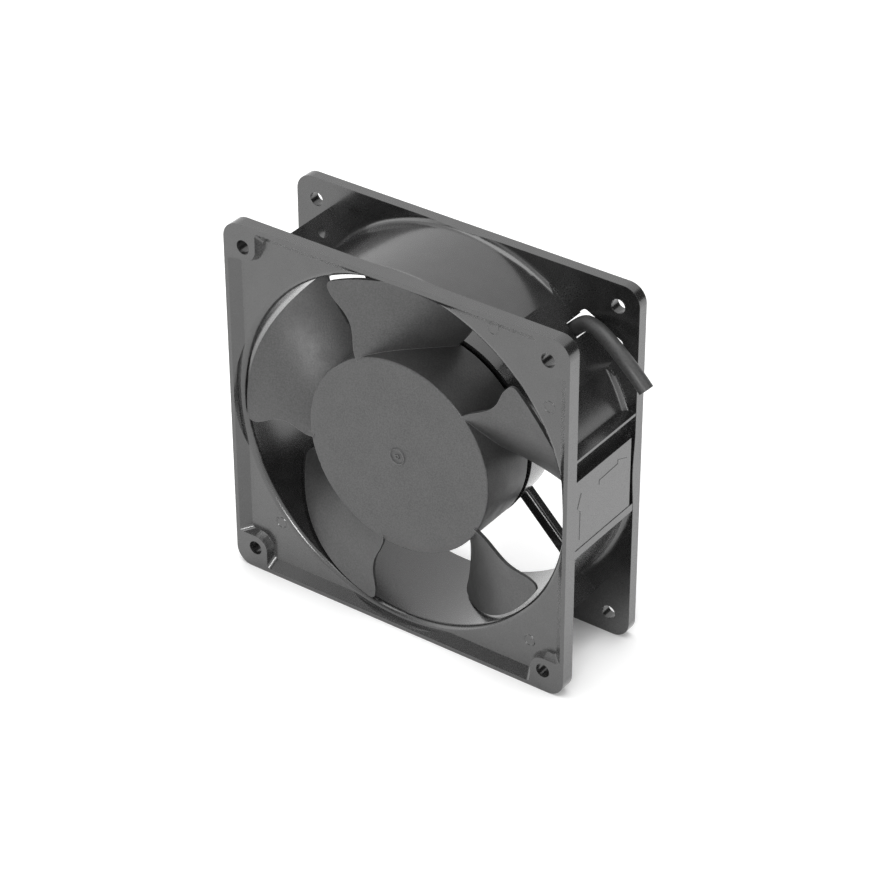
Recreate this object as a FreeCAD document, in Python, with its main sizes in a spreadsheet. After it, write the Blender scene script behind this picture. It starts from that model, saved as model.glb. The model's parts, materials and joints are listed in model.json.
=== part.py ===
import FreeCAD, Part
import math
import os
from types import SimpleNamespace

import Sketcher
from FreeCAD import Placement, Rotation, Vector

# Driving dimensions
# Lengths are millimetres and angles degrees. Places along the fan axis are measured from the
# middle of the fan's depth: the inlet side is negative and the outlet side positive. Those of
# the struts, the motor base and the lead are measured in from the outlet face.
SIZES = {
    # square frame
    "frame_side": 119.0,
    "frame_depth": 38.0,
    "corner_round": 5.5,
    "front_flange": 4.6,
    "back_flange": 3.5,
    "rim_width": 1.3,
    "rim_slope": 2.9,
    "recess_depth": 2.6,
    "hole_inset": 7.1,
    "hole_bore": 4.5,
    "boss_reach": 4.3,
    "boss_draft": 0.9,
    # air duct, set in from the frame's sides; its flat is cut in from its outside
    "duct_inset": 3.3,
    "duct_wall": 2.8,
    "bell_round": 1.9,
    "bell_lip": 0.05,
    "outlet_bevel": 1.4,
    "duct_fillet": 2.0,
    "lead_flat": 1.3,
    # webs at the corners, measured out from the duct
    "earth_web_reach": 10.9,
    "earth_web_thick": 4.4,
    "earth_hole_place": 5.8,
    "earth_hole_depth": 7.7,
    "earth_hole_bore": 3.3,
    "plain_web_reach": 7.5,
    "plain_web_thick": 1.8,
    # marking panel, its face set in from the frame's side
    "panel_face": 0.1,
    "panel_top": 20.0,
    "panel_bottom": -13.2,
    "panel_border": 2.5,
    "panel_recess": 0.15,
    "groove_width": 1.7,
    "groove_depth": 1.8,
    "shelf_lip": 0.9,
    "shelf_gap": 6.6,
    "shelf_recess": 3.2,
    # struts and motor base
    "strut_width": 4.4,
    "strut_front": 4.3,
    "strut_back": 1.2,
    "strut_round": 1.2,
    "base_radius": 31.6,
    "base_front": 5.0,
    "base_back": 0.6,
    "base_taper": 1.0,
    "base_wall": 1.7,
    "base_floor": 1.6,
    "base_round": 2.0,
    "seat_wall": 1.6,
    # supply lead
    "lead_diameter": 4.6,
    "lead_place": 4.6,
    "lead_offset": -1.5,
    "lead_clearance": 0.25,
    "channel_wall": 1.1,
    "lead_inner_end": 22.0,
    "slot_start": 4.6,
    "slot_end": 9.8,
    "slot_near_depth": 5.6,
    "slot_far_depth": 10.2,
    "slot_round": 1.4,
    # bearing tube, bearings and shaft
    "tube_bore": 13.0,
    "tube_wall": 1.5,
    "tube_front": -11.4,
    "shaft_diameter": 4.0,
    "shaft_end_gap": 0.8,
    "bearing_width": 5.0,
    "bearing_inner": 3.2,
    "bearing_outer": 5.3,
    "front_bearing": -10.6,
    "rear_bearing": 9.4,
    "shield_thick": 0.35,
    "shield_gap": 0.35,
    "spring_thick": 1.0,
    "clip_thick": 0.6,
    "cap_thick": 1.0,
    "cap_radius": 6.2,
    # impeller
    "hub_radius": 31.5,
    "hub_front": -17.0,
    "hub_back": 2.8,
    "hub_wall": 1.9,
    "hub_round": 0.5,
    "blade_count": 5,
    "tip_clearance": 0.9,
    "blade_lead": -16.5,
    "root_rise": 18.8,
    "tip_rise": 20.0,
    "tip_sweep": 51.0,
    "root_sweep": 39.0,
    "root_thick": 2.3,
    "tip_thick": 1.6,
    "lead_corner": 1.8,
    "trail_corner": 1.0,
    "first_blade": 43.4,
    # rotor
    "cup_wall": 1.0,
    "cup_gap": 0.1,
    "core_front": -9.0,
    "core_length": 10.0,
    "rotor_ring": 3.6,
    "end_ring": 1.6,
    "end_ring_width": 3.0,
    "air_gap": 0.35,
    # stator
    "pole_width": 9.0,
    "pole_shoe": 3.0,
    "slot_mouth": 3.0,
    "core_yoke": 3.0,
    "liner_thick": 1.0,
    "coil_gap": 0.3,
    "coil_side": 3.6,
    "coil_end": 3.0,
    "shading_band": 1.4,
    "shading_length": 6.0,
    "shading_place": 22.0,
}


class Size(float):
    """A length that remembers the sheet expression it was worked out with."""

    def __new__(cls, value, text):
        size = super().__new__(cls, value)
        size.text = text
        return size

    def __add__(self, other):
        return Size(float(self) + float(other), f"({self.text} + {text_of(other)})")

    def __radd__(self, other):
        return Size(float(other) + float(self), f"({text_of(other)} + {self.text})")

    def __sub__(self, other):
        return Size(float(self) - float(other), f"({self.text} - {text_of(other)})")

    def __rsub__(self, other):
        return Size(float(other) - float(self), f"({text_of(other)} - {self.text})")

    def __mul__(self, other):
        return Size(float(self) * float(other), f"({self.text} * {text_of(other)})")

    __rmul__ = __mul__

    def __truediv__(self, other):
        return Size(float(self) / float(other), f"({self.text} / {text_of(other)})")

    def __neg__(self):
        return Size(-float(self), f"(0 - {self.text})")


def text_of(value):
    """The expression for a size, or the plain number."""
    return value.text if isinstance(value, Size) else f"{float(value):.9f}"


def make_sheet(document):
    """Fill the spreadsheet and return its cells as sizes."""
    sheet = document.addObject("Spreadsheet::Sheet", "sizes")
    for row, (name, value) in enumerate(SIZES.items(), start=1):
        sheet.set(f"A{row}", name)
        sheet.set(f"B{row}", str(value))
        sheet.setAlias(f"B{row}", name)
    document.recompute()
    cells = {name: Size(sheet.get(name), f"sizes.{name}") for name in SIZES}
    return SimpleNamespace(**cells)


document = FreeCAD.newDocument("axial_fan")
size = make_sheet(document)
finished = []

# Places that several pieces share, along the fan axis and out from it
half_side = size.frame_side / 2
front_face = -size.frame_depth / 2
back_face = size.frame_depth / 2
front_inside = front_face + size.front_flange
back_inside = back_face - size.back_flange
recess_floor = front_face + size.recess_depth
hole_place = half_side - size.hole_inset
bore_radius = half_side - size.duct_inset
duct_radius = bore_radius + size.duct_wall
flat_place = duct_radius - size.lead_flat
panel_face = half_side - size.panel_face
strut_front = back_face - size.strut_front
strut_back = back_face - size.strut_back
base_back = back_face - size.base_back
lead_along = back_face - size.lead_place
tip_radius = bore_radius - size.tip_clearance
lead_radius = size.lead_diameter / 2
channel_half = lead_radius + size.lead_clearance
channel_front = lead_along - channel_half
base_inside = base_back - size.base_floor
cap_front = base_back - size.cap_thick
tube_radius = size.tube_bore / 2 + size.tube_wall
shaft_radius = size.shaft_diameter / 2
hub_inside = size.hub_radius - size.hub_wall
cup_outside = hub_inside - size.cup_gap
cup_inside = cup_outside - size.cup_wall
cup_front = size.hub_front + size.hub_wall + size.cup_gap
core_back = size.core_front + size.core_length
rotor_bore = cup_inside - size.rotor_ring
stator_radius = rotor_bore - size.air_gap
PAST = 5.0
POLES = 4

DIAGONAL = math.sqrt(0.5)


def bind(feature, name, value):
    """Set a property and tie it to the sheet where the value comes from there."""
    if isinstance(value, Size):
        feature.setExpression(name, value.text)
    else:
        setattr(feature, name, value)


def origin_part(body, role):
    """One of the body's own origin planes or axes."""
    return next(part for part in body.Origin.OriginFeatures if part.Role == role)


def new_body(label, on_axis=True):
    """A body whose own origin lies on the fan axis."""
    body = document.addObject("PartDesign::Body", label)
    body.Label = label
    if on_axis:
        body.setExpression("Placement.Base.z", half_side.text)
    finished.append(body)
    return body


def new_sketch(body, name, plane, offset=0.0, turn=None):
    """A sketch on one of the body's origin planes, moved along or turned about it."""
    sketch = body.newObject("Sketcher::SketchObject", name)
    sketch.AttachmentSupport = [(origin_part(body, plane), "")]
    sketch.MapMode = "FlatFace"
    if turn is not None:
        sketch.AttachmentOffset = Placement(Vector(0, 0, 0), turn)
    if isinstance(offset, Size):
        sketch.setExpression("AttachmentOffset.Base.z", offset.text)
    return sketch


def hold_point(sketch, shape, end, x, y):
    """Tie a sketch point's two distances from the origin to the sheet."""
    for kind, axis, value in (("DistanceX", -2, x), ("DistanceY", -1, y)):
        if float(value) == 0.0:
            sketch.addConstraint(Sketcher.Constraint("PointOnObject", shape, end, axis))
            continue
        index = sketch.addConstraint(Sketcher.Constraint(kind, -1, 1, shape, end, float(value)))
        if isinstance(value, Size):
            sketch.setExpression(f"Constraints[{index}]", value.text)


def corner_arc(before, corner, after, radius):
    """The arc that rounds a corner, as its start, middle and end."""
    back = (before - corner).normalize()
    ahead = (after - corner).normalize()
    half = math.acos(max(-1.0, min(1.0, back.dot(ahead)))) / 2
    reach = radius / math.tan(half)
    centre = corner + (back + ahead).normalize() * (radius / math.sin(half))
    middle = centre + (corner - centre).normalize() * radius
    return corner + back * reach, middle, corner + ahead * reach


def draw_outline(sketch, corners):
    """Draw a closed outline through corners (x, y) or (x, y, rounding radius)."""
    points = [Vector(float(corner[0]), float(corner[1]), 0) for corner in corners]
    count = len(points)
    arcs = {}
    for index, corner in enumerate(corners):
        if len(corner) == 3:
            before = points[index - 1]
            after = points[(index + 1) % count]
            arcs[index] = corner_arc(before, points[index], after, float(corner[2]))
    runs = []
    for index in range(count):
        following = (index + 1) % count
        start = arcs[index][2] if index in arcs else points[index]
        end = arcs[following][0] if following in arcs else points[following]
        runs.append(sketch.addGeometry(Part.LineSegment(start, end), False))
    for index, corner in enumerate(corners):
        arriving = runs[index - 1]
        leaving = runs[index]
        if index not in arcs:
            sketch.addConstraint(Sketcher.Constraint("Coincident", arriving, 2, leaving, 1))
            hold_point(sketch, leaving, 1, corner[0], corner[1])
            continue
        start, middle, end = arcs[index]
        arc = sketch.addGeometry(Part.Arc(start, middle, end), False)
        first = 1 if sketch.getPoint(arc, 1).distanceToPoint(start) < 1e-6 else 2
        sketch.addConstraint(Sketcher.Constraint("Tangent", arriving, 2, arc, first))
        sketch.addConstraint(Sketcher.Constraint("Tangent", leaving, 1, arc, 3 - first))
        radius = sketch.addConstraint(Sketcher.Constraint("Radius", arc, float(corner[2])))
        if isinstance(corner[2], Size):
            sketch.setExpression(f"Constraints[{radius}]", corner[2].text)
        mark = sketch.addGeometry(Part.Point(points[index]), True)
        sketch.addConstraint(Sketcher.Constraint("PointOnObject", mark, 1, arriving))
        sketch.addConstraint(Sketcher.Constraint("PointOnObject", mark, 1, leaving))
        hold_point(sketch, mark, 1, corner[0], corner[1])


def draw_circle(sketch, x, y, radius):
    """Draw a circle whose centre and radius are tied to the sheet."""
    circle = Part.Circle(Vector(float(x), float(y), 0), Vector(0, 0, 1), float(radius))
    shape = sketch.addGeometry(circle, False)
    hold_point(sketch, shape, 3, x, y)
    index = sketch.addConstraint(Sketcher.Constraint("Radius", shape, float(radius)))
    if isinstance(radius, Size):
        sketch.setExpression(f"Constraints[{index}]", radius.text)


def add_feature(body, kind, name, sketch):
    """Add a feature that is made from one sketch."""
    feature = body.newObject(f"PartDesign::{kind}", name)
    feature.Profile = sketch
    sketch.Visibility = False
    return feature


def turned(body, kind, name, corners):
    """Revolve or groove an outline of (radius, place along the axis) about the fan axis."""
    sketch = new_sketch(body, f"{name}_profile", "XY_Plane")
    draw_outline(sketch, corners)
    feature = add_feature(body, kind, name, sketch)
    feature.ReferenceAxis = (sketch, ["V_Axis"])
    feature.Angle = 360.0
    return feature


def pad_between(body, name, front, back, draw):
    """Pad a front view from one place along the axis to another."""
    sketch = new_sketch(body, f"{name}_outline", "XZ_Plane", -back)
    draw(sketch)
    pad = add_feature(body, "Pad", name, sketch)
    bind(pad, "Length", back - front)
    return pad


def cut_between(body, name, front, back, draw):
    """Cut a front view away from one place along the axis to another."""
    sketch = new_sketch(body, f"{name}_outline", "XZ_Plane", -front)
    draw(sketch)
    pocket = add_feature(body, "Pocket", name, sketch)
    bind(pocket, "Length", back - front)
    return pocket


def repeat_round(body, name, feature, count, angle=360.0):
    """Repeat a feature about the fan axis."""
    pattern = body.newObject("PartDesign::PolarPattern", name)
    pattern.Originals = [feature]
    pattern.Axis = (origin_part(body, "Y_Axis"), [""])
    pattern.Angle = angle
    pattern.Occurrences = count
    body.Tip = pattern
    return pattern


def on_diagonal(outward, across):
    """Front-view place measured out along the upper right diagonal and across it."""
    return (outward + across) * DIAGONAL, (outward - across) * DIAGONAL


def square_corners(half, radius):
    """Corners of a centred square with rounded corners."""
    return [(half, half, radius), (-half, half, radius), (-half, -half, radius), (half, -half, radius)]


def recess_corners(half, boss, radius, tight):
    """Square field that leaves a rounded boss standing in each of its corners."""
    corners = []
    for across, up in ((1, 1), (-1, 1), (-1, -1), (1, -1)):
        beside = (half * across, boss * up, tight)
        inner = (boss * across, boss * up, radius)
        above = (boss * across, half * up, tight)
        corners += [beside, inner, above] if across == up else [above, inner, beside]
    return corners


def web_corners(inner, outer, thick):
    """Section of a web that stands on the duct along the lower right diagonal."""
    half = thick / 2
    places = ((inner, half), (outer, half), (outer, -half), (inner, -half))
    return [((out + side) * DIAGONAL, -(out - side) * DIAGONAL) for out, side in places]


def make_housing():
    """The casting: two flanges, the duct between them, struts and the motor base."""
    body = new_body("housing")
    pad_between(body, "front_plate", front_face, front_inside,
                lambda sketch: draw_outline(sketch, square_corners(half_side, size.corner_round)))
    fillet = size.duct_fillet
    collar = duct_radius + fillet + 0.5
    inner = bore_radius - 1.0
    turned(body, "Revolution", "duct", [
        (inner, front_inside - 1.0),
        (collar, front_inside - 1.0),
        (collar, front_inside),
        (duct_radius, front_inside, fillet),
        (duct_radius, back_inside, fillet),
        (collar, back_inside),
        (collar, back_inside + 1.0),
        (inner, back_inside + 1.0),
    ])
    pad_between(body, "back_plate", back_inside, back_face,
                lambda sketch: draw_outline(sketch, square_corners(half_side, size.corner_round)))
    add_side_panel(body)
    add_webs(body)
    trim_to_square(body)
    open_duct(body)
    cut_front_recess(body)
    add_struts(body)
    add_motor_base(body)
    cut_lead_way(body)
    cut_fixing_holes(body)
    return body


def trim_to_square(body):
    """Where the duct's fillets would pass the square, its sides are flat."""
    def surround(sketch):
        draw_outline(sketch, square_corners(half_side + PAST, size.corner_round))
        draw_outline(sketch, square_corners(half_side, size.corner_round))
    cut_between(body, "square_sides", front_face, back_face, surround)


def add_side_panel(body):
    """A block on the side of the duct: a marking face with a groove behind it, and a shelf above."""
    inner = duct_radius * 0.9
    pad_between(body, "panel_block", front_inside, back_inside, lambda sketch: draw_outline(sketch, [
        (inner, size.panel_bottom),
        (panel_face, size.panel_bottom),
        (panel_face, size.panel_top),
        (inner, size.panel_top),
    ]))
    bottom = size.panel_bottom + size.panel_border
    top = size.panel_top - size.shelf_lip
    middle = top - size.shelf_gap
    groove = back_inside - size.groove_width
    cut_panel(body, "marking_face", (front_inside, groove), (bottom, middle), size.panel_recess)
    cut_panel(body, "panel_groove", (groove, back_inside), (bottom, middle), size.groove_depth)
    cut_panel(body, "panel_shelf", (front_inside, back_inside), (middle, top), size.shelf_recess)


def cut_panel(body, name, along, up, depth):
    """Sink a rectangle into the panel's face."""
    sketch = new_sketch(body, f"{name}_outline", "YZ_Plane", panel_face)
    draw_outline(sketch, [(along[0], up[0]), (along[1], up[0]), (along[1], up[1]), (along[0], up[1])])
    pocket = add_feature(body, "Pocket", name, sketch)
    bind(pocket, "Length", depth)


def add_webs(body):
    """Webs between the flanges at three corners, the upper left one thick for the earth screw."""
    inner = bore_radius + size.duct_wall / 4
    plain = duct_radius + size.plain_web_reach
    earth = duct_radius + size.earth_web_reach
    web = pad_between(body, "plain_web", front_inside, back_inside, lambda sketch: draw_outline(
        sketch, web_corners(inner, plain, size.plain_web_thick)))
    repeat_round(body, "plain_webs", web, 2, 90.0)
    pad_between(body, "earth_web", front_inside, back_inside, lambda sketch: draw_outline(
        sketch, [(-x, -y) for x, y in web_corners(inner, earth, size.earth_web_thick)]))
    hole = new_sketch(body, "earth_hole_outline", "XY_Plane", 0.0, Rotation(Vector(0, 1, 0), 45))
    hole.setExpression("AttachmentOffset.Base.z", size.earth_web_thick.text)
    hole.setExpression("AttachmentOffset.Base.x", size.earth_web_thick.text)
    place = -(duct_radius + size.earth_hole_place)
    draw_circle(hole, place, size.earth_hole_depth, size.earth_hole_bore / 2)
    pocket = add_feature(body, "Pocket", "earth_hole", hole)
    bind(pocket, "Length", size.earth_web_thick * 2.5)


def open_duct(body):
    """Bore of the duct with its rounded inlet and bevelled outlet."""
    mouth = bore_radius + size.bell_round + size.bell_lip
    outlet = bore_radius + size.outlet_bevel
    turned(body, "Groove", "duct_bore", [
        (0.0, front_face - PAST),
        (mouth, front_face - PAST),
        (mouth, recess_floor),
        (bore_radius, recess_floor, size.bell_round),
        (bore_radius, back_face - size.outlet_bevel),
        (outlet, back_face),
        (outlet, back_face + PAST),
        (0.0, back_face + PAST),
    ])


def cut_front_recess(body):
    """Sunk field of the front flange, with a narrow sloping rim and a boss round each hole."""
    boss = hole_place - size.boss_reach
    field = half_side - size.rim_width
    top = new_sketch(body, "recess_rim_outline", "XZ_Plane", -front_face)
    draw_outline(top, recess_corners(field, boss, size.boss_reach, size.rim_width))
    floor = new_sketch(body, "recess_floor_outline", "XZ_Plane", -recess_floor)
    draft = size.boss_draft
    draw_outline(floor, recess_corners(field - size.rim_slope, boss - draft, size.boss_reach + draft,
                                       size.rim_width))
    recess = add_feature(body, "SubtractiveLoft", "front_recess", top)
    recess.Sections = [floor]
    recess.Ruled = True


def add_struts(body):
    """Four struts on the diagonals, rounded towards the blades."""
    section = new_sketch(body, "strut_section", "YZ_Plane", 0.0, Rotation(Vector(1, 0, 0), 45))
    half = size.strut_width / 2
    draw_outline(section, [
        (strut_front, -half, size.strut_round),
        (strut_back, -half),
        (strut_back, half),
        (strut_front, half, size.strut_round),
    ])
    strut = add_feature(body, "Pad", "strut", section)
    bind(strut, "Length", bore_radius + size.duct_wall / 2)
    repeat_round(body, "struts", strut, 4)
    half = channel_half + size.channel_wall
    pad_between(body, "lead_strut", channel_front - size.channel_wall, strut_back,
                lambda sketch: draw_outline(sketch, [
                    on_diagonal(size.base_radius - size.base_wall, size.lead_offset - half),
                    on_diagonal(bore_radius + size.duct_wall / 3, size.lead_offset - half),
                    on_diagonal(bore_radius + size.duct_wall / 3, size.lead_offset + half),
                    on_diagonal(size.base_radius - size.base_wall, size.lead_offset + half),
                ]))


def add_motor_base(body):
    """Cup that closes the motor at the back, with a seat for the bearing tube."""
    narrow = size.base_radius - size.base_taper
    turned(body, "Revolution", "base_block", [
        (0.0, size.base_front),
        (size.base_radius, size.base_front),
        (narrow, base_back, size.base_round),
        (0.0, base_back),
    ])
    seat = tube_radius + size.seat_wall
    turned(body, "Groove", "base_cavity", [
        (seat, size.base_front - PAST),
        (size.base_radius - size.base_wall, size.base_front - PAST),
        (narrow - size.base_wall, base_inside),
        (seat, base_inside),
    ])
    turned(body, "Groove", "tube_seat", [
        (0.0, size.base_front - PAST),
        (tube_radius, size.base_front - PAST),
        (tube_radius, base_inside),
        (size.cap_radius, base_inside),
        (size.cap_radius, base_back + PAST),
        (0.0, base_back + PAST),
    ])


def cut_lead_way(body):
    """Flat on the duct, channel along the strut, and the slot where the lead comes out."""
    cut_between(body, "duct_flat", front_inside, back_inside, lambda sketch: draw_outline(sketch, [
        on_diagonal(flat_place, -size.base_radius / 2),
        on_diagonal(flat_place + 3 * size.duct_wall, -size.base_radius / 2),
        on_diagonal(flat_place + 3 * size.duct_wall, size.base_radius / 2),
        on_diagonal(flat_place, size.base_radius / 2),
    ]))
    near = size.lead_offset - channel_half
    far = size.lead_offset + channel_half
    cut_between(body, "base_way", channel_front, base_inside, lambda sketch: draw_outline(sketch, [
        on_diagonal(size.lead_inner_end, near),
        on_diagonal(size.base_radius + 1.0, near),
        on_diagonal(size.base_radius + 1.0, far),
        on_diagonal(size.lead_inner_end, far),
    ]))
    cut_between(body, "lead_channel", channel_front, back_face + PAST, lambda sketch: draw_outline(
        sketch, [
            on_diagonal(size.base_radius + 0.5, near),
            on_diagonal(flat_place + 1.0, near),
            on_diagonal(flat_place + 1.0, far),
            on_diagonal(size.base_radius + 0.5, far),
        ]))
    near_depth = flat_place + size.slot_near_depth
    far_depth = flat_place + size.slot_far_depth
    cut_between(body, "flange_slot", back_inside - 0.01, back_face + PAST,
                lambda sketch: draw_outline(sketch, [
                    on_diagonal(flat_place, -size.slot_start),
                    (*on_diagonal(near_depth, -size.slot_start), size.slot_round),
                    (*on_diagonal(far_depth, size.slot_end), size.slot_round),
                    on_diagonal(flat_place, size.slot_end + 2 * size.slot_round),
                ]))


def cut_fixing_holes(body):
    """Four fixing holes through both flanges."""
    hole = cut_between(body, "fixing_hole", front_face - PAST, back_face + PAST,
                       lambda sketch: draw_circle(sketch, hole_place, hole_place, size.hole_bore / 2))
    repeat_round(body, "fixing_holes", hole, 4)


def make_turned(label, corners):
    """A round piece on the fan axis, from its outline of radius and place along the axis."""
    body = new_body(label)
    turned(body, "Revolution", f"{label}_turning", corners)
    return body


def ring(inner, outer, front, back):
    """Outline of a plain ring."""
    return [(inner, front), (outer, front), (outer, back), (inner, back)]


def make_bearing(name, front):
    """The outer race with its two shields, and the inner race that turns inside them."""
    back = front + size.bearing_width
    outside = size.tube_bore / 2
    race = size.bearing_outer
    shield = size.shield_thick
    shield_edge = size.bearing_inner + size.shield_gap
    make_turned(f"{name}_bearing_outer", [
        (outside, front),
        (outside, back),
        (shield_edge, back),
        (shield_edge, back - shield),
        (race, back - shield),
        (race, front + shield),
        (shield_edge, front + shield),
        (shield_edge, front),
    ])
    make_turned(f"{name}_bearing_inner", ring(shaft_radius, size.bearing_inner, front, back))


def make_bearing_group():
    """Tube, two shielded ball bearings, spacer, spring washer, shaft and its retaining ring."""
    make_turned("bearing_tube", ring(size.tube_bore / 2, tube_radius, size.tube_front, base_inside))
    make_bearing("front", size.front_bearing)
    make_bearing("rear", size.rear_bearing)
    spacer_front = size.front_bearing + size.bearing_width
    spring_front = size.rear_bearing - size.spring_thick
    make_turned("bearing_spacer", ring(size.bearing_outer, size.tube_bore / 2, spacer_front,
                                       spring_front))
    make_turned("wave_washer", ring(size.bearing_outer, size.tube_bore / 2 - 0.1, spring_front,
                                    size.rear_bearing))
    shaft_back = cap_front - size.shaft_end_gap
    make_turned("shaft", [
        (0.0, cup_front),
        (shaft_radius, cup_front),
        (shaft_radius, shaft_back, shaft_radius / 4),
        (0.0, shaft_back),
    ])
    clip_front = size.rear_bearing + size.bearing_width
    make_turned("retaining_ring", ring(shaft_radius, size.bearing_inner, clip_front,
                                       clip_front + size.clip_thick))
    make_turned("shaft_collar", ring(shaft_radius, size.bearing_inner, cup_front + size.cup_wall,
                                     size.front_bearing))
    make_turned("rear_cap", ring(0.0, size.cap_radius, cap_front, base_back))


def make_pole_piece(label, front, back, radius, shoe, neck, mouth):
    """A four-pole piece on the bearing tube: a ring, four necks and four curved shoes."""
    body = new_body(label)
    hub = tube_radius + size.core_yoke

    def hub_rings(sketch):
        draw_circle(sketch, 0.0, 0.0, hub)
        draw_circle(sketch, 0.0, 0.0, tube_radius)

    def shoe_rings(sketch):
        draw_circle(sketch, 0.0, 0.0, radius)
        draw_circle(sketch, 0.0, 0.0, radius - shoe)

    pad_between(body, "hub_ring", front, back, hub_rings)
    neck = pad_between(body, "neck", front, back, lambda sketch: draw_outline(sketch, [
        (hub - 1.0, -neck / 2),
        (radius - shoe / 2, -neck / 2),
        (radius - shoe / 2, neck / 2),
        (hub - 1.0, neck / 2),
    ]))
    repeat_round(body, "necks", neck, POLES)
    pad_between(body, "shoe_ring", front, back, shoe_rings)
    gap = cut_between(body, "slot_mouth", front, back, lambda sketch: draw_outline(sketch, [
        on_diagonal(radius - 2 * size.pole_shoe, -mouth / 2),
        on_diagonal(radius + 1.0, -mouth / 2),
        on_diagonal(radius + 1.0, mouth / 2),
        on_diagonal(radius - 2 * size.pole_shoe, mouth / 2),
    ]))
    repeat_round(body, "slot_mouths", gap, POLES)


def make_stator():
    """Laminated core, its two end liners, four windings and the shading bands."""
    make_pole_piece("stator_core", size.core_front, core_back, stator_radius, size.pole_shoe,
                    size.pole_width, size.slot_mouth)
    inside = stator_radius - size.pole_shoe + size.liner_thick
    width = size.pole_width + size.liner_thick
    mouth = size.slot_mouth + size.liner_thick
    for label, front in (("front_liner", size.core_front - size.liner_thick), ("rear_liner", core_back)):
        make_pole_piece(label, front, front + size.liner_thick, inside, size.liner_thick, width, mouth)
    for number in range(POLES):
        make_coil(number)
        make_shading_band(number)


def turn_to_pole(body, angle):
    """Turn a piece about the fan axis to its own pole."""
    body.Placement = Placement(Vector(0, 0, float(half_side)), Rotation(Vector(0, 1, 0), angle))
    body.setExpression("Placement.Base.z", half_side.text)


def make_coil(number):
    """One winding: a rounded frame of wire wrapped round a pole neck and both liners."""
    body = new_body(f"coil_{number + 1}")
    front = size.core_front - size.liner_thick - size.coil_gap
    back = core_back + size.liner_thick + size.coil_gap
    half = size.pole_width / 2 + size.liner_thick / 2 + size.coil_gap
    start = tube_radius + size.core_yoke + size.coil_gap
    stop = (stator_radius - size.pole_shoe) * 0.9
    section = new_sketch(body, "coil_frame", "YZ_Plane", start)
    draw_outline(section, [
        (front - size.coil_end, -half - size.coil_side, size.coil_end * 0.6),
        (back + size.coil_end, -half - size.coil_side, size.coil_end * 0.6),
        (back + size.coil_end, half + size.coil_side, size.coil_end * 0.6),
        (front - size.coil_end, half + size.coil_side, size.coil_end * 0.6),
    ])
    draw_outline(section, [(front, -half), (back, -half), (back, half), (front, half)])
    bind(add_feature(body, "Pad", "coil_winding", section), "Length", stop - start)
    turn_to_pole(body, 360.0 * number / POLES)


def make_shading_band(number):
    """A copper band seated on the front of a pole shoe, to one side of its neck."""
    body = new_body(f"shading_band_{number + 1}")
    inner = stator_radius - size.pole_shoe + size.liner_thick + size.coil_gap / 2
    outer = inner + size.shading_band
    half = size.shading_length / 2
    pad_between(body, "band", size.core_front - size.shading_band, size.core_front,
                lambda sketch: draw_outline(sketch, [(inner, -half), (outer, -half), (outer, half),
                                                     (inner, half)]))
    turn_to_pole(body, 360.0 * number / POLES + float(size.shading_place))


def make_rotor():
    """Steel cup, laminated ring and the cast end rings of the cage."""
    wall = size.cup_wall
    make_turned("rotor_cup", [
        (shaft_radius, cup_front),
        (cup_outside, cup_front, 0.8),
        (cup_outside, size.hub_back - 0.5),
        (cup_inside, size.hub_back - 0.5),
        (cup_inside, cup_front + wall),
        (shaft_radius, cup_front + wall),
    ])
    make_turned("rotor_core", ring(rotor_bore, cup_inside, size.core_front, core_back))
    inner = cup_inside - size.end_ring_width
    make_turned("front_cage_ring", ring(inner, cup_inside, size.core_front - size.end_ring,
                                        size.core_front))
    make_turned("rear_cage_ring", ring(inner, cup_inside, core_back, core_back + size.end_ring))


def blade_share(radius):
    """How far out a radius lies along the blade, from 0 at the hub to 1 at the tip."""
    return (radius - float(size.hub_radius)) / float(tip_radius - size.hub_radius)


def blade_place(radius, sweep, side):
    """Place along the fan axis of one side of the blade, a sweep behind its leading edge."""
    out = blade_share(radius)
    share = sweep / float(size.root_sweep + (size.tip_sweep - size.root_sweep) * out)
    straight = 0.7 - 0.48 * out
    rise = float(size.root_rise + (size.tip_rise - size.root_rise) * out)
    middle = float(size.blade_lead) + rise * (straight * share + (1 - straight) * share ** 3)
    thick = float(size.root_thick + (size.tip_thick - size.root_thick) * out)
    edge = 2 * sweep / float(size.tip_sweep) - 1
    return middle + side * thick * (1 - 0.4 * min(1.0, edge * edge)) / 2


def blade_side(side):
    """One side of the blade as a smooth surface through a grid of places."""
    first = float(size.hub_radius) * 0.85
    last = float(tip_radius) * 1.04
    half = float(size.tip_sweep) / 2
    rows = []
    for step in range(9):
        radius = first + (last - first) * step / 8
        row = []
        for turn in range(11):
            angle = (half + 4) * (1 - turn / 5)
            place = around(radius, angle)
            place.y = blade_place(radius, half - angle, side)
            row.append(place)
        rows.append(row)
    surface = Part.BSplineSurface()
    surface.interpolate(rows)
    return surface.toShape()


def edge_between(face, first, last):
    """The edge of a face that joins two of its corners."""
    for edge in face.Edges:
        ends = [vertex.Point for vertex in edge.Vertexes]
        if len(ends) == 2 and min(ends[0].distanceToPoint(first) + ends[1].distanceToPoint(last),
                                  ends[1].distanceToPoint(first) + ends[0].distanceToPoint(last)) < 1e-3:
            return edge
    raise RuntimeError("blade edge not found")


def around(radius, angle):
    """Front-view place at a radius and an angle, anticlockwise from the right."""
    turn = math.radians(angle)
    return Vector(radius * math.cos(turn), 0, radius * math.sin(turn))


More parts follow.
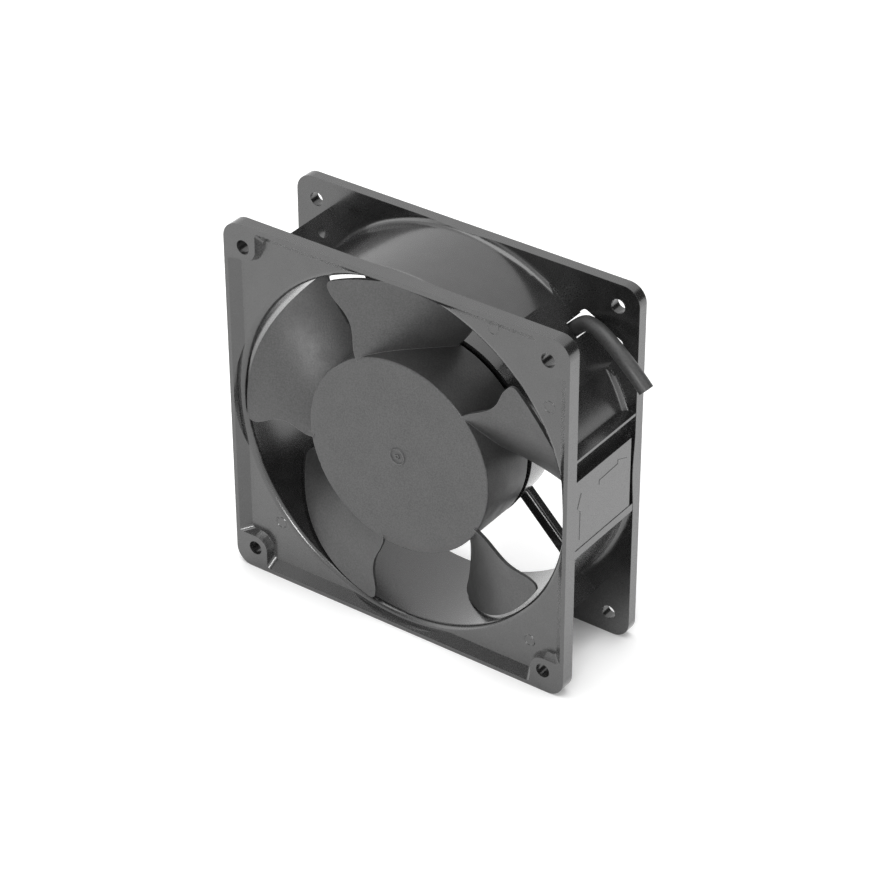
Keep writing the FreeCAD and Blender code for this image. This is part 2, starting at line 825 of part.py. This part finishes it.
def blade_outline():
    """Front view of one blade: wavy leading edge, tip arc and slanting trailing edge."""
    half = float(size.tip_sweep) / 2
    root = float(size.hub_radius - size.hub_wall / 2)
    tip = float(tip_radius)
    lean = float(size.tip_sweep - size.root_sweep)
    wave = ((0.0, 1.0), (0.22, -0.4), (0.42, -2.3), (0.62, -1.6), (0.82, 0.7), (1.0, 0.5))
    lead = [around(root + (tip - root) * share, half + lift) for share, lift in wave]
    slant = ((1.0, 0.0), (0.8, 0.2), (0.55, 0.0), (0.3, -0.6), (0.0, 0.0))
    trail = [around(root + (tip - root) * share, -half + lean * (1 - share) + lift)
             for share, lift in slant]
    edges = []
    for points in (lead, trail):
        curve = Part.BSplineCurve()
        curve.interpolate(points)
        edges.append(curve.toShape())
    edges.append(Part.Arc(lead[-1], around(tip, 0.0), trail[0]).toShape())
    edges.append(Part.Arc(trail[-1], around(root, half / 2), lead[0]).toShape())
    return Part.Wire(Part.__sortEdges__(edges))


def round_tip_corner(trim, side, radius):
    """Round the tip's corner at the leading edge (side 1) or at the trailing edge (side -1)."""
    tall = float(size.frame_depth) - 1
    tip = float(tip_radius) - 1
    for edge in trim.Edges:
        middle = edge.CenterOfMass
        if edge.Length > tall and math.hypot(middle.x, middle.z) > tip and middle.z * side > 0:
            return trim.makeFillet(float(radius), [edge])
    raise RuntimeError("blade corner not found")


def blade_shape():
    """One blade: a solid between its two sides, trimmed to its front view."""
    sides = [blade_side(-1), blade_side(1)]
    faces = list(sides)
    surfaces = [side.Surface for side in sides]
    corners = [[surface.value(u, v) for u, v in ((0, 0), (1, 0), (1, 1), (0, 1))]
               for surface in surfaces]
    for index in range(4):
        following = (index + 1) % 4
        edges = [edge_between(side, corner[index], corner[following])
                 for side, corner in zip(sides, corners)]
        faces.append(Part.makeRuledSurface(*edges))
    shell = Part.makeShell(faces)
    shell.sewShape()
    block = Part.makeSolid(Part.Shell(shell.Faces))
    outline = blade_outline()
    outline.translate(Vector(0, float(front_face) - PAST, 0))
    trim = Part.Face(outline).extrude(Vector(0, float(size.frame_depth), 0))
    trim = round_tip_corner(trim, 1, size.lead_corner)
    trim = round_tip_corner(trim, -1, size.trail_corner)
    blade = block.common(trim).Solids[0]
    print("blade volume", round(blade.Volume, 1), "valid", blade.isValid())
    return blade


def make_impeller():
    """Moulded impeller: a hub like a deep lid, with its blades round it."""
    hub = document.addObject("PartDesign::Body", "impeller_hub")
    hub.setExpression("Placement.Base.z", half_side.text)
    turned(hub, "Revolution", "hub_turning", [
        (0.0, size.hub_front),
        (size.hub_radius, size.hub_front, size.hub_round),
        (size.hub_radius, size.hub_back),
        (hub_inside, size.hub_back),
        (hub_inside, size.hub_front + size.hub_wall),
        (0.0, size.hub_front + size.hub_wall),
    ])
    shape = blade_shape()
    pieces = [hub]
    for number in range(int(size.blade_count)):
        blade = document.addObject("Part::Feature", f"blade_{number + 1}")
        blade.Shape = shape
        lead = size.first_blade + 360.0 * number / int(size.blade_count)
        turn = Rotation(Vector(0, 1, 0), float(size.tip_sweep / 2 - lead))
        blade.Placement = Placement(Vector(0, 0, float(half_side)), turn)
        pieces.append(blade)
    impeller = document.addObject("Part::MultiFuse", "impeller")
    impeller.Label = "impeller"
    impeller.Shapes = pieces
    impeller.Refine = True
    finished.append(impeller)


def lead_place(outward, across, along):
    """A place of the lead in the frame's own coordinates, from the diagonal it leaves along."""
    x, z = on_diagonal(outward, across)
    return Vector(float(x), float(along), float(z + half_side))


def lead_route():
    """Centre line of the free end, from where the lead leaves the duct wall to its cut end."""
    start = lead_place(flat_place, size.lead_offset, lead_along)
    chosen = ((2.5, 0.0, 2.5), (5.9, -1.4, 3.4), (10.2, -3.1, 3.3), (15.0, -4.6, 1.6),
              (19.5, -5.5, -1.1), (23.6, -5.9, -4.3), (27.1, -6.0, -7.9))
    return [start] + [start + Vector(*step) for step in chosen]


def rounded_path(points):
    """Straight runs joined by tangent arcs, each as large as its two runs allow."""
    edges = []
    here = points[0]
    for before, corner, after in zip(points, points[1:], points[2:]):
        back = before - corner
        ahead = after - corner
        reach = 0.45 * min(back.Length, ahead.Length)
        half_turn = (math.pi - back.getAngle(ahead)) / 2
        radius = reach / math.tan(half_turn)
        print("lead bend radius", round(radius, 1))
        start, middle, end = corner_arc(before, corner, after, radius)
        edges.append(Part.LineSegment(here, start).toShape())
        edges.append(Part.Arc(start, middle, end).toShape())
        here = end
    edges.append(Part.LineSegment(here, points[-1]).toShape())
    return Part.Wire(edges)


def make_tube(label, points):
    """A round cord along a route."""
    path = rounded_path(points) if len(points) > 2 else Part.Wire([Part.makeLine(*points)])
    circle = Part.makeCircle(float(lead_radius), points[0], points[1] - points[0])
    tube = path.makePipeShell([Part.Wire([circle])], True, False)
    expected = math.pi * float(lead_radius) ** 2 * path.Length
    print(label, "length", round(path.Length, 1), "volume share", round(tube.Volume / expected, 4))
    feature = document.addObject("Part::Feature", label)
    feature.Label = label
    feature.Shape = tube
    finished.append(feature)


def make_lead():
    """The supply lead: the stretch held in the strut, and the free end outside."""
    inner = lead_place(size.lead_inner_end + lead_radius / 2, size.lead_offset, lead_along)
    outer = lead_place(flat_place, size.lead_offset, lead_along)
    make_tube("held_lead", [inner, outer])
    make_tube("supply_lead", lead_route())


def check_and_write():
    """Stop if any object failed, then write each finished piece."""
    document.recompute()
    for item in document.Objects:
        if "Invalid" in item.State or "Error" in item.State:
            raise RuntimeError(f"{item.Name} failed: {item.State}")
    os.makedirs("parts", exist_ok=True)
    for item in finished:
        shape = item.Shape
        if shape.isNull() or not shape.isValid() or not shape.Solids:
            raise RuntimeError(f"{item.Label} has no valid solid")
        shape.exportStep(os.path.join("parts", f"{item.Label}.step"))
        print(item.Label, "solids", len(shape.Solids), "volume", round(shape.Volume, 1))


make_housing()
make_bearing_group()
make_stator()
make_rotor()
make_impeller()
make_lead()
check_and_write()
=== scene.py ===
import json
import math

import bmesh
import bpy
from mathutils import Matrix, Vector


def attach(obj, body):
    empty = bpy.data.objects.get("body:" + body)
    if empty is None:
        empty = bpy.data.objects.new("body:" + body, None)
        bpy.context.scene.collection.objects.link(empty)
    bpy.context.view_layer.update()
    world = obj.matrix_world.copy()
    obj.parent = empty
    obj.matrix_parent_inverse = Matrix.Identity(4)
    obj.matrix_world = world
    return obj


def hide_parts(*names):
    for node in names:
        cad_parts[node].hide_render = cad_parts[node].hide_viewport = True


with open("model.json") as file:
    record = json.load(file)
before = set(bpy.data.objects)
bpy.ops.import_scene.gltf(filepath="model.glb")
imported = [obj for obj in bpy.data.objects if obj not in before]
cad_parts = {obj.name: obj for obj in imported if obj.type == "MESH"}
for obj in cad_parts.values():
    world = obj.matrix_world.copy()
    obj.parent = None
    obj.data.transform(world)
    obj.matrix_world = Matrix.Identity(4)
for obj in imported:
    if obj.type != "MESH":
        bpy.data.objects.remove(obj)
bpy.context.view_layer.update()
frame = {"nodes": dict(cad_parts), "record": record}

MM = 0.001

# Places on the fan, in millimetres: y runs from the inlet face to the outlet face
AXIS_Z = 59.5
RECESS_FLOOR_Y = -16.4
HUB_FACE_Y = -17.0
PANEL_X = 59.25

LEAD_RADIUS = 2.3

# How noise is squeezed along x, y and z
EVEN = (1.0, 1.0, 1.0)
DRAWN_ALONG_AXIS = (1.0, 0.1, 1.0)
STACKED_SHEETS = (0.1, 1.0, 0.1)

# The photograph's frame and the lens that fits it, in pixels
PHOTO_WIDTH = 870
FOCAL_LENGTH = 3215.0


def at(x, y, z):
    """A place given in millimetres."""
    return Vector((x, y, z)) * MM


# Materials


class Nodes:
    """A material's node tree, with short calls to add and link nodes."""

    def __init__(self, name):
        self.material = bpy.data.materials.new(name)
        self.material.use_nodes = True
        self.tree = self.material.node_tree
        self.shader = self.tree.nodes["Principled BSDF"]
        coordinates = self.tree.nodes.new("ShaderNodeTexCoord")
        self.place = coordinates.outputs["Object"]

    def add(self, kind, **values):
        node = self.tree.nodes.new(kind)
        for name, value in values.items():
            setattr(node, name, value)
        return node

    def link(self, output, target):
        self.tree.links.new(output, target)

    def set(self, **values):
        """Set the shader's own sockets, with _ for each blank in a name."""
        for name, value in values.items():
            self.shader.inputs[name.replace("_", " ")].default_value = value

    def noise(self, size_mm, detail=3.0, stretch=EVEN):
        """Noise whose grains are about size_mm across."""
        mapping = self.add("ShaderNodeMapping")
        mapping.inputs["Scale"].default_value = stretch
        self.link(self.place, mapping.inputs["Vector"])
        noise = self.add("ShaderNodeTexNoise")
        noise.inputs["Scale"].default_value = 1.0 / (size_mm * MM)
        noise.inputs["Detail"].default_value = detail
        self.link(mapping.outputs["Vector"], noise.inputs["Vector"])
        return noise.outputs["Fac"]

    def spread(self, value, low, high, start=0.35, end=0.65):
        """A value mapped from its middle range to low and high."""
        node = self.add("ShaderNodeMapRange")
        node.inputs["From Min"].default_value = start
        node.inputs["From Max"].default_value = end
        node.inputs["To Min"].default_value = low
        node.inputs["To Max"].default_value = high
        self.link(value, node.inputs["Value"])
        return node.outputs["Result"]

    def mixed(self, value, dark, light):
        """A colour between dark and light, each a colour or another node's output."""
        mix = self.add("ShaderNodeMix", data_type="RGBA")
        for socket, colour in ((mix.inputs[6], dark), (mix.inputs[7], light)):
            if isinstance(colour, tuple):
                socket.default_value = (*colour, 1.0)
            else:
                self.link(colour, socket)
        self.link(value, mix.inputs[0])
        return mix.outputs[2]

    def colour(self, output):
        self.link(output, self.shader.inputs["Base Color"])

    def soft_edges(self, radius_mm):
        """The surface's direction with its sharp edges rounded off."""
        bevel = self.add("ShaderNodeBevel", samples=4)
        bevel.inputs["Radius"].default_value = radius_mm * MM
        return bevel.outputs["Normal"]

    def painted_edge_highlight(self, rounded):
        """A mask for painted highlights: 1 along the sharp edges and 0 on the flats between them."""
        geometry = self.add("ShaderNodeNewGeometry")
        turn = self.add("ShaderNodeVectorMath", operation="DOT_PRODUCT")
        self.link(geometry.outputs["Normal"], turn.inputs[0])
        self.link(rounded, turn.inputs[1])
        return self.spread(turn.outputs["Value"], 1.0, 0.0, 0.75, 0.99)

    def bump(self, layers, below=None):
        """Bumps from (height value, depth in mm, strength), one on top of the other."""
        for height, depth, strength in layers:
            node = self.add("ShaderNodeBump")
            node.inputs["Strength"].default_value = strength
            node.inputs["Distance"].default_value = depth * MM
            self.link(height, node.inputs["Height"])
            if below is not None:
                self.link(below, node.inputs["Normal"])
            below = node.outputs["Normal"]
        self.link(below, self.shader.inputs["Normal"])


def frame_paint():
    """Satin black paint on a casting: slight waves, fine grain and a painted highlight along the edges.
    """
    nodes = Nodes("frame_paint")
    grain = nodes.noise(0.3, 3.0)
    waves = nodes.noise(5.0, 2.0)
    edges = nodes.soft_edges(0.15)
    cloud = nodes.spread(waves, 0.0, 1.0)
    body = nodes.mixed(cloud, (0.012, 0.012, 0.012), (0.018, 0.018, 0.018))
    # The edges are painted lighter than the flats: a painted highlight.
    nodes.colour(nodes.mixed(nodes.painted_edge_highlight(edges), body, (0.05, 0.05, 0.05)))
    nodes.link(nodes.spread(grain, 0.2, 0.3), nodes.shader.inputs["Roughness"])
    nodes.set(Specular_IOR_Level=0.9, Coat_Weight=0.6, Coat_Roughness=0.16)
    nodes.bump([(waves, 0.05, 0.1), (grain, 0.01, 0.1)], edges)
    return nodes.material


def impeller_plastic():
    """Charcoal moulded plastic with a fine grain and a thin painted highlight along its edges."""
    nodes = Nodes("impeller_plastic")
    grain = nodes.noise(0.45, 2.0)
    blotch = nodes.noise(7.0, 3.0)
    edges = nodes.soft_edges(0.25)
    speckle = nodes.spread(grain, 0.0, 1.0, 0.3, 0.7)
    body = nodes.mixed(speckle, (0.03, 0.03, 0.03), (0.065, 0.065, 0.065))
    # The edges are painted much lighter than the body: a painted highlight.
    nodes.colour(nodes.mixed(nodes.painted_edge_highlight(edges), body, (0.2, 0.2, 0.2)))
    nodes.link(nodes.spread(blotch, 0.4, 0.5), nodes.shader.inputs["Roughness"])
    nodes.set(Specular_IOR_Level=0.75)
    nodes.bump([(grain, 0.09, 0.45)], edges)
    return nodes.material


def lead_jacket():
    """Soft dark grey cable jacket with faint marks."""
    nodes = Nodes("lead_jacket")
    fine = nodes.noise(0.5, 3.0)
    nodes.colour(nodes.mixed(nodes.spread(fine, 0.0, 1.0), (0.04, 0.04, 0.04), (0.06, 0.06, 0.06)))
    nodes.link(nodes.spread(fine, 0.38, 0.48), nodes.shader.inputs["Roughness"])
    nodes.bump([(fine, 0.03, 0.3)])
    return nodes.material


def plain_metal(name, dark, light, roughness, stretch=EVEN):
    """Bare metal with fine marks, drawn out or laid in sheets by stretch."""
    nodes = Nodes(name)
    marks = nodes.noise(0.4, 4.0, stretch)
    nodes.colour(nodes.mixed(nodes.spread(marks, 0.0, 1.0), dark, light))
    nodes.link(nodes.spread(marks, roughness - 0.06, roughness + 0.08), nodes.shader.inputs["Roughness"])
    nodes.set(Metallic=1.0)
    nodes.bump([(marks, 0.02, 0.3)], nodes.soft_edges(0.15))
    return nodes.material


def winding_copper():
    """Varnished copper wire: fine rings that run round the winding."""
    nodes = Nodes("winding_copper")
    wave = nodes.add("ShaderNodeTexWave", wave_type="RINGS", rings_direction="Y")
    wave.inputs["Scale"].default_value = 700.0
    wave.inputs["Distortion"].default_value = 0.6
    nodes.link(nodes.place, wave.inputs["Vector"])
    nodes.colour(nodes.mixed(wave.outputs["Fac"], (0.22, 0.07, 0.02), (0.55, 0.22, 0.08)))
    nodes.set(Metallic=0.8, Roughness=0.32)
    nodes.bump([(wave.outputs["Fac"], 0.12, 0.6)])
    return nodes.material


def liner_plastic():
    """Pale moulded liner."""
    nodes = Nodes("liner_plastic")
    fine = nodes.noise(0.8, 3.0)
    nodes.colour(nodes.mixed(nodes.spread(fine, 0.0, 1.0), (0.5, 0.46, 0.36), (0.58, 0.54, 0.44)))
    nodes.set(Roughness=0.5)
    nodes.bump([(fine, 0.03, 0.3)])
    return nodes.material


def dress_nodes():
    """Give every CAD node the material of its slot, and return the materials by slot."""
    materials = {
        "frame_paint": frame_paint(),
        "impeller_plastic": impeller_plastic(),
        "lead_jacket": lead_jacket(),
        "bright_steel": plain_metal(
            "bright_steel", (0.45, 0.45, 0.46), (0.6, 0.6, 0.61), 0.25, DRAWN_ALONG_AXIS),
        "core_steel": plain_metal(
            "core_steel", (0.16, 0.16, 0.17), (0.26, 0.26, 0.27), 0.42, STACKED_SHEETS),
        "winding_copper": winding_copper(),
        "liner_plastic": liner_plastic(),
        "cage_aluminium": plain_metal(
            "cage_aluminium", (0.45, 0.45, 0.46), (0.6, 0.6, 0.6), 0.4),
    }
    for entry in frame["record"]["subparts"]:
        mesh = frame["nodes"][entry["node"]].data
        mesh.materials.clear()
        mesh.materials.append(materials[entry["material_slot"]])
    return materials


def smooth_nodes():
    """Shade curved faces smoothly and keep real edges sharp."""
    for node in frame["nodes"].values():
        node.data.shade_smooth()
        node.data.set_sharp_from_angle(angle=math.radians(32))


# Small details that the casting and the moulding carry


def new_piece(name, mesh, body, material):
    """A piece of the object that moves with a CAD body."""
    piece = bpy.data.objects.new(name, mesh)
    bpy.context.scene.collection.objects.link(piece)
    mesh.materials.append(material)
    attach(piece, body)
    return piece


def add_ridge(work, path, width, height):
    """A low rounded line moulded on the side panel, along places (y, z) of its face."""
    profile = ((-0.5, -0.1), (-0.3, 0.8), (0.0, 1.0), (0.3, 0.8), (0.5, -0.1))
    sharpest = 0.4
    places = [Vector(place) for place in path]
    rows = []
    for before, place, after in zip(places[:1] + places, places, places[1:] + places[-1:]):
        runs = [run.normalized() for run in (place - before, after - place) if run.length > 0]
        ahead = sum(runs, Vector((0, 0))).normalized()
        aside = Vector((-ahead.y, ahead.x)) / max(sharpest, ahead.dot(runs[0]))
        row = []
        for across, up in profile:
            y, z = place + aside * width * across
            row.append(work.verts.new(at(PANEL_X + height * up, y, z)))
        rows.append(row)
    for first, second in zip(rows, rows[1:]):
        for a, b, c, d in zip(first, first[1:], second[1:], second):
            work.faces.new((a, b, c, d))
    work.faces.new(rows[0])
    work.faces.new(rows[-1][::-1])


def add_arrows(material):
    """Moulded arrows on the side panel: the way the air goes and the way the blades turn."""
    air_way = [(-2.35, 65.1), (-2.3, 66.5), (7.0, 66.9), (7.1, 68.2), (11.6, 66.4)]
    turning_way = [(-11.9, 51.8), (-11.8, 61.5), (-13.2, 62.9), (-11.5, 67.2)]
    mesh = bpy.data.meshes.new("panel_arrows")
    work = bmesh.new()
    for path in (air_way, turning_way):
        add_ridge(work, path, width=0.4, height=0.16)
    bmesh.ops.recalc_face_normals(work, faces=work.faces[:])
    work.to_mesh(mesh)
    work.free()
    new_piece("panel_arrows", mesh, "frame", material)


def add_ring(work, place, inner, outer, height):
    """A low ring with sloping sides, its radii and height in millimetres."""
    steps = 40
    slope = 0.35 * (outer - inner)
    profile = ((inner, 0.0), (inner + slope, height), (outer - slope, height), (outer, 0.0))
    loops = []
    for radius, up in profile:
        loop = []
        for step in range(steps):
            angle = 2 * math.pi * step / steps
            spot = Vector((radius * math.cos(angle), radius * math.sin(angle), up)) * MM
            loop.append(work.verts.new(place @ spot))
        loops.append(loop)
    for first, second in zip(loops, loops[1:]):
        for step in range(steps):
            after = (step + 1) % steps
            work.faces.new((first[step], first[after], second[after], second[step]))


def front_ring_place(x, y, z):
    """The place of a ring that lies on a surface facing the inlet side."""
    return Matrix.Translation(at(x, y, z)) @ Matrix.Rotation(math.radians(90), 4, "X")


def add_pin_marks(material):
    """Faint rings that the ejector pins left on the floor of the front recess."""
    mesh = bpy.data.meshes.new("pin_marks")
    work = bmesh.new()
    for x, z in ((32.65, 113.5), (51.43, 95.22), (45.94, 13.63), (-44.05, 18.42)):
        add_ring(work, front_ring_place(x, RECESS_FLOOR_Y, z), inner=1.5, outer=2.0, height=0.16)
    work.to_mesh(mesh)
    work.free()
    new_piece("pin_marks", mesh, "frame", material)


def add_hub_mark(material):
    """The moulding mark in the middle of the hub: two low rings."""
    mesh = bpy.data.meshes.new("hub_mark")
    work = bmesh.new()
    place = front_ring_place(0, HUB_FACE_Y, AXIS_Z)
    add_ring(work, place, inner=2.1, outer=2.8, height=0.4)
    add_ring(work, place, inner=0.2, outer=0.9, height=0.4)
    work.to_mesh(mesh)
    work.free()
    new_piece("hub_mark", mesh, "rotor", material)


def add_lead(material):
    """The free end of the supply lead, cut square: where it leaves the duct, and its way from there."""
    start = Vector((39.74, 14.4, 101.361))
    steps = ((0, 0, 0), (2.5, 0, 2.5), (5.9, -1.4, 3.4), (10.2, -3.1, 3.3), (15.0, -4.6, 1.6),
             (19.5, -5.5, -1.1), (23.6, -5.9, -4.3), (27.1, -6.0, -7.9))
    curve = bpy.data.curves.new("lead", "CURVE")
    curve.dimensions = "3D"
    curve.bevel_depth = LEAD_RADIUS * MM
    curve.bevel_resolution = 12
    curve.resolution_u = 12
    curve.use_fill_caps = True
    spline = curve.splines.new("NURBS")
    spline.points.add(len(steps) - 1)
    for point, step in zip(spline.points, steps):
        point.co = (*((start + Vector(step)) * MM), 1.0)
    spline.order_u = 3
    spline.use_endpoint_u = True
    curve.materials.append(material)
    lead = bpy.data.objects.new("lead", curve)
    bpy.context.scene.collection.objects.link(lead)
    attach(lead, "frame")
    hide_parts("supply_lead")


# Camera, lights and floor


def add_camera():
    """The photograph's viewpoint."""
    target = at(1.026, 0, 58.152)
    distance = 931.13 * MM
    turn, rise, roll = (math.radians(angle) for angle in (35.895, 33.366, -0.279))
    back = Vector((math.sin(turn) * math.cos(rise), -math.cos(turn) * math.cos(rise), math.sin(rise)))
    level = Vector((math.cos(turn), math.sin(turn), 0))
    upright = back.cross(level)
    right = level * math.cos(roll) + upright * math.sin(roll)
    up = upright * math.cos(roll) - level * math.sin(roll)
    camera = bpy.data.cameras.new("camera")
    camera.sensor_width = 36.0
    camera.lens = FOCAL_LENGTH / PHOTO_WIDTH * camera.sensor_width
    camera.clip_end = 20.0
    viewer = bpy.data.objects.new("camera", camera)
    facing = Matrix((right, up, back)).transposed().to_4x4()
    viewer.matrix_world = Matrix.Translation(target + back * distance) @ facing
    bpy.context.scene.collection.objects.link(viewer)
    bpy.context.scene.camera = viewer


def add_lamp(name, place, target, size, power):
    """A soft box lamp that points at a place."""
    light = bpy.data.lights.new(name, "AREA")
    light.shape = "RECTANGLE"
    light.size, light.size_y = size
    light.energy = power
    lamp = bpy.data.objects.new(name, light)
    lamp.location = place
    lamp.rotation_euler = (Vector(target) - Vector(place)).to_track_quat("-Z", "Y").to_euler()
    bpy.context.scene.collection.objects.link(lamp)


class Studio:
    """The node tree of the world or the floor, with short calls for its few numbers."""

    def __init__(self, tree):
        self.tree = tree

    def compute(self, kind, first, second):
        """A math node's result from two values or outputs."""
        node = self.tree.nodes.new("ShaderNodeMath")
        node.operation = kind
        for socket, value in zip(node.inputs, (first, second)):
            if isinstance(value, float):
                socket.default_value = value
            else:
                self.tree.links.new(value, socket)
        return node.outputs[0]

    def seen_directly(self):
        """1 for the camera, mirror and glass rays, and 0 for the light on the object."""
        path = self.tree.nodes.new("ShaderNodeLightPath")
        camera, glossy, through = (
            path.outputs[name] for name in ("Is Camera Ray", "Is Glossy Ray", "Is Transmission Ray"))
        return self.compute("MAXIMUM", self.compute("MAXIMUM", camera, glossy), through)

    def map(self, value, start, end, low, high):
        """A value that runs smoothly from low at start to high at end."""
        node = self.tree.nodes.new("ShaderNodeMapRange")
        node.interpolation_type = "SMOOTHSTEP"
        numbers = {"From Min": start, "From Max": end, "To Min": low, "To Max": high}
        for name, number in numbers.items():
            node.inputs[name].default_value = number
        self.tree.links.new(value, node.inputs["Value"])
        return node.outputs["Result"]


def add_world():
    """A white studio with a dark place behind the fan on the right, and one high in front on the left."""
    world = bpy.data.worlds.new("studio")
    bpy.context.scene.world = world
    world.use_nodes = True
    studio = Studio(world.node_tree)
    backdrop = studio.tree.nodes["Background"]
    backdrop.inputs["Color"].default_value = (1.0, 1.0, 1.0, 1.0)
    coordinates = studio.tree.nodes.new("ShaderNodeTexCoord")
    # Each place: its direction, the cosines from which it starts and is full, and how bright it is
    behind_right = ((0.75, 0.62, 0.22), 0.8, 0.9, 0.04)
    high_left = ((-0.49, -0.64, 0.62), 0.93, 0.98, 0.15)
    wall = 1.0
    for direction, start, end, level in (behind_right, high_left):
        towards = studio.tree.nodes.new("ShaderNodeVectorMath")
        towards.operation = "DOT_PRODUCT"
        studio.tree.links.new(coordinates.outputs["Generated"], towards.inputs[0])
        towards.inputs[1].default_value = Vector(direction).normalized()
        dark = studio.map(towards.outputs["Value"], start, end, 1.0, level)
        wall = studio.compute("MULTIPLY", wall, dark)
    seen = studio.map(studio.seen_directly(), 0.0, 1.0, 0.6, 1.0)
    studio.tree.links.new(studio.compute("MULTIPLY", wall, seen), backdrop.inputs["Strength"])


def add_floor():
    """A pale floor that glows where it lies open; near the fan its glow is turned down, a painted soft
    shadow.
    """
    bpy.ops.mesh.primitive_plane_add(size=6.0, location=(0, 0, 0))
    floor = bpy.context.object
    floor.name = "floor"
    material = bpy.data.materials.new("floor")
    material.use_nodes = True
    studio = Studio(material.node_tree)
    shader = studio.tree.nodes["Principled BSDF"]
    shader.inputs["Base Color"].default_value = (0.85, 0.85, 0.85, 1.0)
    shader.inputs["Roughness"].default_value = 0.9
    shader.inputs["Specular IOR Level"].default_value = 0.0
    shader.inputs["Emission Color"].default_value = (1.0, 1.0, 1.0, 1.0)
    # Ambient occlusion dims the floor's glow close to the fan: a painted shadow.
    painted_shadow_ao = studio.tree.nodes.new("ShaderNodeAmbientOcclusion")
    painted_shadow_ao.samples = 8
    painted_shadow_ao.inputs["Distance"].default_value = 0.02
    glow = studio.map(painted_shadow_ao.outputs["AO"], 0.3, 1.0, 0.05, 0.44)
    studio.tree.links.new(studio.compute("MULTIPLY", glow, studio.seen_directly()),
                          shader.inputs["Emission Strength"])
    floor.data.materials.append(material)


def add_lights():
    """Large soft lamps above and on each side, and a small one near the camera."""
    middle = (0, 0, 0.06)
    add_lamp("top_box", (-0.1, -0.1, 1.4), middle, (1.2, 1.2), 9)
    add_lamp("left_box", (-1.3, -0.9, 0.7), middle, (0.9, 1.2), 4)
    add_lamp("right_box", (1.3, 0.2, 0.6), middle, (0.5, 1.0), 3)
    add_lamp("front_box", (0.42, -1.05, 0.5), middle, (0.3, 0.3), 4)


add_camera()
materials = dress_nodes()
smooth_nodes()
add_lead(materials["lead_jacket"])
add_arrows(materials["frame_paint"])
add_pin_marks(materials["frame_paint"])
add_hub_mark(materials["impeller_plastic"])
add_world()
add_floor()
add_lights()

bpy.context.scene.view_settings.view_transform = "Standard"
